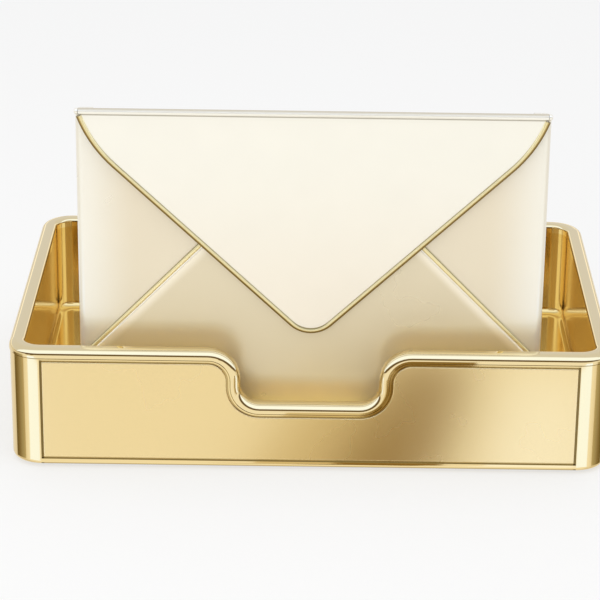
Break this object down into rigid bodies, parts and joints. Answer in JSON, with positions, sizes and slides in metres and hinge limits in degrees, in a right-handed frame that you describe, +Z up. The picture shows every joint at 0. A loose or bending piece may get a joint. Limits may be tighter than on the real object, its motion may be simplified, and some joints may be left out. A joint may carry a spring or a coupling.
{
  "type": "letter tray",
  "caption": "Open metal letter tray with double walls, a rounded rim and a finger notch in front, holding an upright rigid envelope with a hinged flap.",
  "frame": {"origin": "on the table under the middle of the tray's footprint", "axes": "+Z up, +X to the right along the tray's long side, -Y towards the notched front wall"},
  "size_m": [0.2828, 0.1838, 0.1724],
  "materials": {
    "satin_gold": "fine satin, gold coloured",
    "polished_gold": "polished, gold coloured",
    "pearl_enamel": "satin pearl cream enamel",
    "plain_steel": "plain zinc-plated steel",
    "felt": "thin wool felt",
    "rubber": "matt",
    "fibreboard": "raw fibreboard"
  },
  "bodies": {
    "tray": {"outer_shell": "polished_gold", "front_panel": "satin_gold", "inner_liner": "polished_gold", "rim_moulding": "polished_gold", "floor_board": "fibreboard", "base_plate": "plain_steel", "front_left_foot": "rubber", "front_right_foot": "rubber", "back_left_foot": "rubber", "back_right_foot": "rubber", "foot_screws": "plain_steel", "base_screws": "plain_steel", "rail_screws": "plain_steel", "envelope_rail": "polished_gold", "rail_felt": "felt"},
    "envelope": {"back_panel": "pearl_enamel", "left_side_flap": "pearl_enamel", "right_side_flap": "pearl_enamel", "bottom_flap": "pearl_enamel", "left_seam_bead": "polished_gold", "right_seam_bead": "polished_gold", "left_corner_cap": "pearl_enamel", "right_corner_cap": "pearl_enamel", "hinge_rod": "plain_steel"},
    "flap": {"closing_flap": "pearl_enamel", "flap_piping": "polished_gold"}
  },
  "joints": [
    {"name": "envelope_lift", "type": "slide", "parent": "tray", "child": "envelope", "axis": [0, 0, 1], "range_m": [0, 0.06]},
    {"name": "flap_hinge", "type": "hinge", "parent": "envelope", "child": "flap", "pos_m": [0, -0.074, 0.1709], "axis": [-1, 0, 0], "range_deg": [0, 180]}
  ]
}
